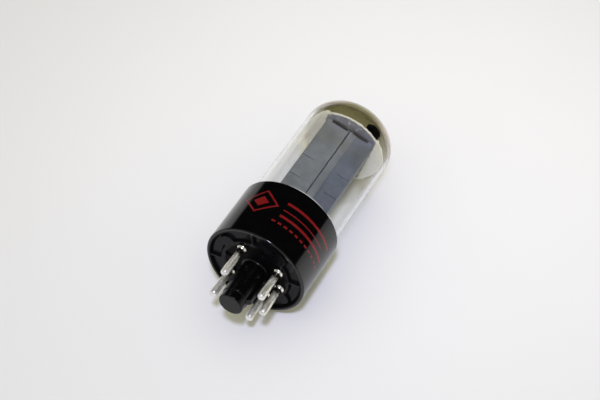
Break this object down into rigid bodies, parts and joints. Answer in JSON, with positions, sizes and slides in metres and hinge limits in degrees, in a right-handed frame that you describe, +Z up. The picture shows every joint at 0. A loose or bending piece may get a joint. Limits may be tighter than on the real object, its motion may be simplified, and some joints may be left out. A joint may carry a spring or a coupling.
{
  "type": "vacuum tube",
  "caption": "Octal-based vacuum tube with a glossy black base, keyed post and nickel pins, a straight glass bulb with two box plates inside, and a getter-flashed dome.",
  "frame": {"origin": "where the tube's axis meets the seating plane of its base, at the centre of the pin circle", "axes": "the tube lies down: +Y along its axis from the pins to the dome, +Z up, the post's key 2.8 degrees above +X"},
  "size_m": [0.0318, 0.0835, 0.0318],
  "materials": {
    "bulb_glass": "clear soda-lime glass",
    "cement": "matt tan basing cement",
    "filament_oxide": "white oxide on ribbon",
    "getter_film": "evaporated getter metal, silvery brown",
    "getter_metal": "fired getter cup, nearly black",
    "lead_wire": "copper-sheathed lead wire",
    "mica": "sprayed white mica",
    "nickel_strip": "nickel strip",
    "nickel_wire": "drawn nickel wire",
    "phenolic": "glossy moulded black phenolic",
    "pin_nickel": "bright nickel over brass",
    "plate_metal": "carbonised nickel-plated steel, satin grey",
    "solder": "tinned and rounded solder",
    "stem_glass": "clear stem glass"
  },
  "bodies": {
    "root": {"base_shell": "phenolic", "basing_cement": "cement", "bottom_mica": "mica", "exhaust_tube": "stem_glass", "filament_bar_2": "nickel_strip", "filament_bar_8": "nickel_strip", "getter_cup": "getter_metal", "getter_flash": "getter_film", "getter_wire": "nickel_wire", "glass_bulb": "bulb_glass", "lead_2": "lead_wire", "lead_4": "lead_wire", "lead_6": "lead_wire", "lead_8": "lead_wire", "left_filament": "filament_oxide", "left_filament_hook": "nickel_wire", "left_plate_front": "plate_metal", "left_plate_rear": "plate_metal", "pin_1": "pin_nickel", "pin_1_solder": "solder", "pin_2": "pin_nickel", "pin_2_solder": "solder", "pin_4": "pin_nickel", "pin_4_solder": "solder", "pin_6": "pin_nickel", "pin_6_solder": "solder", "pin_8": "pin_nickel", "pin_8_solder": "solder", "plate_strap_4": "nickel_strip", "plate_strap_6": "nickel_strip", "right_filament": "filament_oxide", "right_filament_hook": "nickel_wire", "right_plate_front": "plate_metal", "right_plate_rear": "plate_metal", "stem_button": "stem_glass", "top_mica": "mica"}
  },
  "joints": []
}
